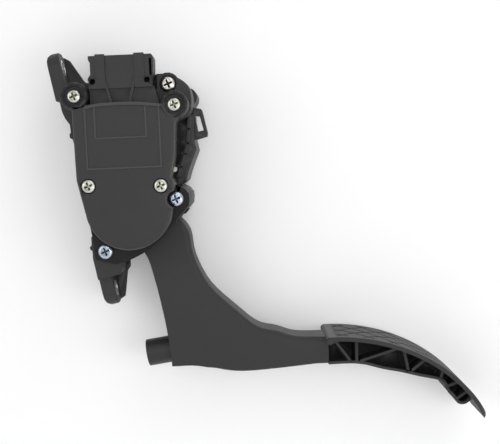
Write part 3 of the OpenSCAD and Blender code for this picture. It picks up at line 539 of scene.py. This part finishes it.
# Springs: CAD node, body, joint, axis and share of the length left at the limit
SPRINGS = [
    ("return_spring_outer", "housing", "pedal_hinge", ALONG_U, 0.6),
    ("return_spring_inner", "housing", "pedal_hinge", ALONG_U, 0.6),
    ("kickdown_spring", "pedal", "kickdown_slide", PLUNGER_AXIS, 0.83),
]


def working_spring(node, body, joint, axis, keep):
    """A coil in a spring's place, carried by its body, with the CAD spring hidden."""
    rest = NODES[node]
    coil = bpy.data.objects.new(node.replace("spring", "coil"), rest.data.copy())
    bpy.context.scene.collection.objects.link(coil)
    coil.matrix_world = rest.matrix_world
    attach(coil, body)
    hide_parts(node)
    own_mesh(coil)


def plane(name, corners, paper):
    """A flat sheet of the stage through four corners."""
    mesh = bpy.data.meshes.new(name)
    mesh.from_pydata(corners, [], [(0, 1, 2, 3)])
    mesh.materials.append(paper)
    sheet = bpy.data.objects.new(name, mesh)
    bpy.context.scene.collection.objects.link(sheet)
    return sheet


def pale(name, lift, one_sided):
    """Pale matt ground that keeps shadows, lifted towards white for the camera and in gloss.

    A one-sided ground is clear from behind.
    """
    m = bpy.data.materials.new(name)
    m.use_nodes = True
    tree = m.node_tree
    tree.nodes.clear()
    out = tree.nodes.new("ShaderNodeOutputMaterial")
    matt = add(tree, "ShaderNodeBsdfDiffuse", Color=(0.9, 0.9, 0.9, 1.0))
    glow = add(tree, "ShaderNodeEmission", Color=WHITE, Strength=1.0)
    ground = tree.nodes.new("ShaderNodeMixShader")
    path = tree.nodes.new("ShaderNodeLightPath")
    seen = maths(tree, "MAXIMUM", path.outputs["Is Camera Ray"], path.outputs["Is Glossy Ray"])
    tree.links.new(product(tree, seen, lift), ground.inputs["Fac"])
    tree.links.new(matt.outputs[0], ground.inputs[1])
    tree.links.new(glow.outputs[0], ground.inputs[2])
    last = ground
    if one_sided:
        clear = add(tree, "ShaderNodeBsdfTransparent", Color=WHITE)
        facing = tree.nodes.new("ShaderNodeNewGeometry")
        last = tree.nodes.new("ShaderNodeMixShader")
        tree.links.new(facing.outputs["Backfacing"], last.inputs["Fac"])
        tree.links.new(ground.outputs[0], last.inputs[1])
        tree.links.new(clear.outputs[0], last.inputs[2])
    tree.links.new(last.outputs[0], out.inputs["Surface"])
    return m


def make_stage():
    """A pale sheet behind the object, where it lies in the photograph, and a floor below."""
    square = [(-STAGE_REACH, -STAGE_REACH), (STAGE_REACH, -STAGE_REACH),
              (STAGE_REACH, STAGE_REACH), (-STAGE_REACH, STAGE_REACH)]
    backdrop = plane("backdrop", [(x, BACKDROP_Y, z) for x, z in square],
                     pale("BackdropPaper", BACKDROP_LIFT, True))
    backdrop.visible_shadow = False
    backdrop.visible_diffuse = False
    floor_z = CAMERA_AIM.z - FLOOR_DROP
    plane("floor", [(x, y, floor_z) for x, y in square], pale("FloorPaper", FLOOR_LIFT, False))


def make_world():
    """Even studio light, and white where the camera sees past the stage."""
    world = bpy.data.worlds.new("studio")
    bpy.context.scene.world = world
    world.use_nodes = True
    tree = world.node_tree
    tree.nodes.clear()
    out = tree.nodes.new("ShaderNodeOutputWorld")
    light = add(tree, "ShaderNodeBackground", Color=WHITE, Strength=WORLD_STRENGTH)
    white = add(tree, "ShaderNodeBackground", Color=WHITE, Strength=1.0)
    mix = tree.nodes.new("ShaderNodeMixShader")
    path = tree.nodes.new("ShaderNodeLightPath")
    seen = maths(tree, "MAXIMUM", path.outputs["Is Camera Ray"], path.outputs["Is Transmission Ray"])
    tree.links.new(seen, mix.inputs["Fac"])
    tree.links.new(light.outputs[0], mix.inputs[1])
    tree.links.new(white.outputs[0], mix.inputs[2])
    tree.links.new(mix.outputs[0], out.inputs["Surface"])


def area_light(name, at, width, watts):
    """A soft square lamp that faces the camera's aim."""
    data = bpy.data.lights.new(name, "AREA")
    data.shape = "SQUARE"
    data.size = width
    data.energy = watts
    lamp = bpy.data.objects.new(name, data)
    lamp.location = at
    lamp.rotation_mode = "QUATERNION"
    lamp.rotation_quaternion = (CAMERA_AIM - Vector(at)).to_track_quat("-Z", "Y")
    bpy.context.scene.collection.objects.link(lamp)


def make_camera():
    """The photograph's camera."""
    side = Vector((math.cos(CAMERA_ROLL), 0.0, -math.sin(CAMERA_ROLL)))
    top = Vector((math.sin(CAMERA_ROLL), 0.0, math.cos(CAMERA_ROLL)))
    depth = Vector((0.0, 1.0, 0.0))
    look = depth * math.cos(CAMERA_RISE) - top * math.sin(CAMERA_RISE)
    up = top * math.cos(CAMERA_RISE) + depth * math.sin(CAMERA_RISE)
    data = bpy.data.cameras.new("camera")
    data.lens = CAMERA_LENS_MM
    data.sensor_width = 36.0
    data.clip_start = 0.01
    data.clip_end = 20.0
    camera = bpy.data.objects.new("camera", data)
    turn = Matrix((side, up, -look)).transposed()
    camera.matrix_world = Matrix.Translation(CAMERA_AIM - look * CAMERA_DISTANCE) @ turn.to_4x4()
    bpy.context.scene.collection.objects.link(camera)
    bpy.context.scene.camera = camera


for name, (finish, edge_mm) in LOOKS.items():
    dress(name, finish, edge_mm)
for spring in SPRINGS:
    working_spring(*spring)

make_camera()
make_world()
for lamp in LAMPS:
    area_light(*lamp)
make_stage()
bpy.context.scene.view_settings.view_transform = "Standard"
